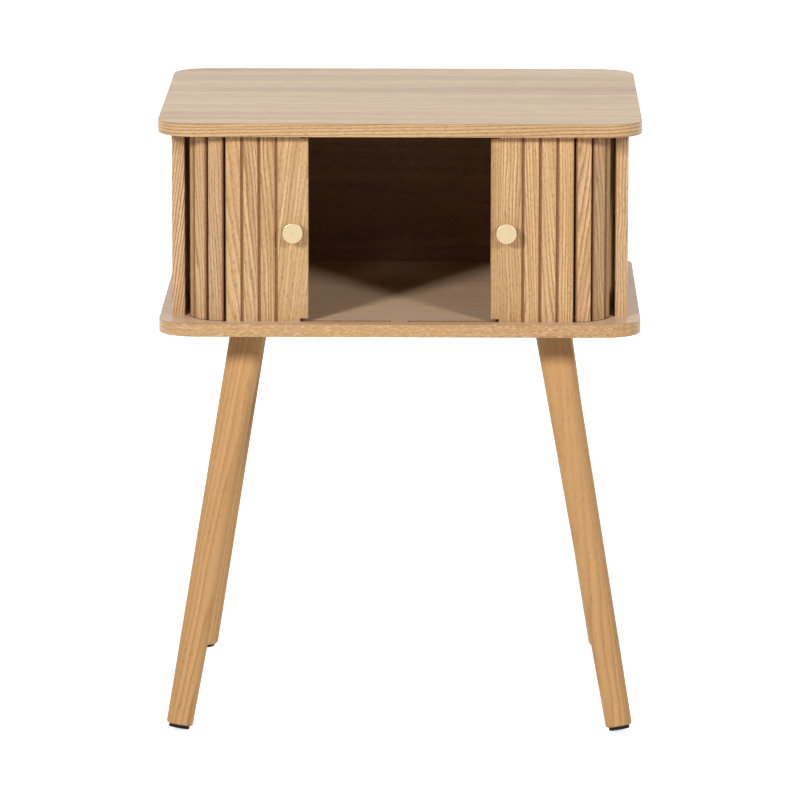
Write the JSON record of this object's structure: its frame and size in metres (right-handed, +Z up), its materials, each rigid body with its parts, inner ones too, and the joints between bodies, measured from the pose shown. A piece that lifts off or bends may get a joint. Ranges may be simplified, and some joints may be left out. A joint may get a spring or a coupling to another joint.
{
  "type": "nightstand",
  "caption": "Oak nightstand with rounded top and base boards, tambour doors that slide round the front corners, round brass knobs and splayed tapered legs.",
  "frame": {"origin": "on the floor, under the middle of the top board", "axes": "+X to the right seen from the front, -Y towards the front, +Z up"},
  "size_m": [0.45, 0.4, 0.58],
  "materials": {
    "oak_board": "clear matt lacquer on oak veneer, grain along the width",
    "oak_panel": "clear matt lacquer on oak veneer, upright grain",
    "oak_slat": "clear matt lacquer on oak, upright grain, stained flanks",
    "oak_leg": "clear matt lacquer on turned solid oak",
    "glide": "matt black",
    "canvas": "plain woven cotton backing",
    "brass": "pale satin brass",
    "dowel": "bare beech",
    "steel": "zinc plated"
  },
  "bodies": {
    "carcass": {"top_board": "oak_board", "bottom_board": "oak_board", "left_side": "oak_panel", "right_side": "oak_panel", "back_panel": "oak_panel", "carcass_dowels": "dowel", "leg_plate_screws": "steel", "front_left_leg": "oak_leg", "front_left_glide": "glide", "front_left_plate": "steel", "front_left_bolt": "steel", "front_right_leg": "oak_leg", "front_right_glide": "glide", "front_right_plate": "steel", "front_right_bolt": "steel", "back_left_leg": "oak_leg", "back_left_glide": "glide", "back_left_plate": "steel", "back_left_bolt": "steel", "back_right_leg": "oak_leg", "back_right_glide": "glide", "back_right_plate": "steel", "back_right_bolt": "steel"},
    "left_door": {"left_lead_slat": "oak_slat", "left_canvas": "canvas", "left_knob": "brass", "left_knob_screw": "steel", "left_slat_01": "oak_slat", "left_slat_02": "oak_slat", "left_slat_03": "oak_slat"},
    "left_slat_04_body": {"left_slat_04": "oak_slat"},
    "left_slat_05_body": {"left_slat_05": "oak_slat"},
    "left_slat_06_body": {"left_slat_06": "oak_slat"},
    "left_slat_07_body": {"left_slat_07": "oak_slat"},
    "left_slat_08_body": {"left_slat_08": "oak_slat"},
    "left_slat_09_body": {"left_slat_09": "oak_slat"},
    "left_slat_10_body": {"left_slat_10": "oak_slat"},
    "left_slat_11_body": {"left_slat_11": "oak_slat"},
    "right_door": {"right_lead_slat": "oak_slat", "right_canvas": "canvas", "right_knob": "brass", "right_knob_screw": "steel", "right_slat_01": "oak_slat", "right_slat_02": "oak_slat", "right_slat_03": "oak_slat"},
    "right_slat_04_body": {"right_slat_04": "oak_slat"},
    "right_slat_05_body": {"right_slat_05": "oak_slat"},
    "right_slat_06_body": {"right_slat_06": "oak_slat"},
    "right_slat_07_body": {"right_slat_07": "oak_slat"},
    "right_slat_08_body": {"right_slat_08": "oak_slat"},
    "right_slat_09_body": {"right_slat_09": "oak_slat"},
    "right_slat_10_body": {"right_slat_10": "oak_slat"},
    "right_slat_11_body": {"right_slat_11": "oak_slat"}
  },
  "joints": [
    {"name": "left_door_slide", "type": "slide", "parent": "carcass", "child": "left_door", "axis": [1, 0, 0], "range_m": [0, 0.084]},
    {"name": "left_slat_04_turn", "type": "hinge", "parent": "carcass", "child": "left_slat_04_body", "pos_m": [-0.12325, 0.06845, 0.48], "axis": [0, 0, 1], "range_deg": [0, 19.1]},
    {"name": "left_slat_05_turn", "type": "hinge", "parent": "carcass", "child": "left_slat_05_body", "pos_m": [-0.13125, -0.08573, 0.48], "axis": [0, 0, 1], "range_deg": [0, 48.2]},
    {"name": "left_slat_06_turn", "type": "hinge", "parent": "carcass", "child": "left_slat_06_body", "pos_m": [-0.13925, -0.12406, 0.48], "axis": [0, 0, 1], "range_deg": [0, 77.31]},
    {"name": "left_slat_07_turn", "type": "hinge", "parent": "carcass", "child": "left_slat_07_body", "pos_m": [-0.14384, -0.13493, 0.48], "axis": [0, 0, 1], "range_deg": [0, 94]},
    {"name": "left_slat_08_turn", "type": "hinge", "parent": "carcass", "child": "left_slat_08_body", "pos_m": [-0.14384, -0.13493, 0.48], "axis": [0, 0, 1], "range_deg": [0, 94]},
    {"name": "left_slat_09_turn", "type": "hinge", "parent": "carcass", "child": "left_slat_09_body", "pos_m": [-0.13644, -0.13219, 0.48], "axis": [0, 0, 1], "range_deg": [0, 82.18]},
    {"name": "left_slat_10_turn", "type": "hinge", "parent": "carcass", "child": "left_slat_10_body", "pos_m": [-0.10333, -0.12649, 0.48], "axis": [0, 0, 1], "range_deg": [0, 53.08]},
    {"name": "left_slat_11_turn", "type": "hinge", "parent": "carcass", "child": "left_slat_11_body", "pos_m": [0.00886, -0.12631, 0.48], "axis": [0, 0, 1], "range_deg": [0, 23.97]},
    {"name": "right_door_slide", "type": "slide", "parent": "carcass", "child": "right_door", "axis": [-1, 0, 0], "range_m": [0, 0.084]},
    {"name": "right_slat_04_turn", "type": "hinge", "parent": "carcass", "child": "right_slat_04_body", "pos_m": [0.12325, 0.06845, 0.48], "axis": [0, 0, -1], "range_deg": [0, 19.1]},
    {"name": "right_slat_05_turn", "type": "hinge", "parent": "carcass", "child": "right_slat_05_body", "pos_m": [0.13125, -0.08573, 0.48], "axis": [0, 0, -1], "range_deg": [0, 48.2]},
    {"name": "right_slat_06_turn", "type": "hinge", "parent": "carcass", "child": "right_slat_06_body", "pos_m": [0.13925, -0.12406, 0.48], "axis": [0, 0, -1], "range_deg": [0, 77.31]},
    {"name": "right_slat_07_turn", "type": "hinge", "parent": "carcass", "child": "right_slat_07_body", "pos_m": [0.14384, -0.13493, 0.48], "axis": [0, 0, -1], "range_deg": [0, 94]},
    {"name": "right_slat_08_turn", "type": "hinge", "parent": "carcass", "child": "right_slat_08_body", "pos_m": [0.14384, -0.13493, 0.48], "axis": [0, 0, -1], "range_deg": [0, 94]},
    {"name": "right_slat_09_turn", "type": "hinge", "parent": "carcass", "child": "right_slat_09_body", "pos_m": [0.13644, -0.13219, 0.48], "axis": [0, 0, -1], "range_deg": [0, 82.18]},
    {"name": "right_slat_10_turn", "type": "hinge", "parent": "carcass", "child": "right_slat_10_body", "pos_m": [0.10333, -0.12649, 0.48], "axis": [0, 0, -1], "range_deg": [0, 53.08]},
    {"name": "right_slat_11_turn", "type": "hinge", "parent": "carcass", "child": "right_slat_11_body", "pos_m": [-0.00886, -0.12631, 0.48], "axis": [0, 0, -1], "range_deg": [0, 23.97]}
  ],
  "couplings": [
    {"joint": "left_slat_04_turn", "follows": "left_door_slide", "rad_per_m": 3.9683},
    {"joint": "left_slat_05_turn", "follows": "left_door_slide", "rad_per_m": 10.015},
    {"joint": "left_slat_06_turn", "follows": "left_door_slide", "rad_per_m": 16.062},
    {"joint": "left_slat_07_turn", "follows": "left_door_slide", "rad_per_m": 19.531},
    {"joint": "left_slat_08_turn", "follows": "left_door_slide", "rad_per_m": 19.531},
    {"joint": "left_slat_09_turn", "follows": "left_door_slide", "rad_per_m": 17.075},
    {"joint": "left_slat_10_turn", "follows": "left_door_slide", "rad_per_m": 11.028},
    {"joint": "left_slat_11_turn", "follows": "left_door_slide", "rad_per_m": 4.9808},
    {"joint": "right_slat_04_turn", "follows": "right_door_slide", "rad_per_m": 3.9683},
    {"joint": "right_slat_05_turn", "follows": "right_door_slide", "rad_per_m": 10.015},
    {"joint": "right_slat_06_turn", "follows": "right_door_slide", "rad_per_m": 16.062},
    {"joint": "right_slat_07_turn", "follows": "right_door_slide", "rad_per_m": 19.531},
    {"joint": "right_slat_08_turn", "follows": "right_door_slide", "rad_per_m": 19.531},
    {"joint": "right_slat_09_turn", "follows": "right_door_slide", "rad_per_m": 17.075},
    {"joint": "right_slat_10_turn", "follows": "right_door_slide", "rad_per_m": 11.028},
    {"joint": "right_slat_11_turn", "follows": "right_door_slide", "rad_per_m": 4.9808}
  ]
}
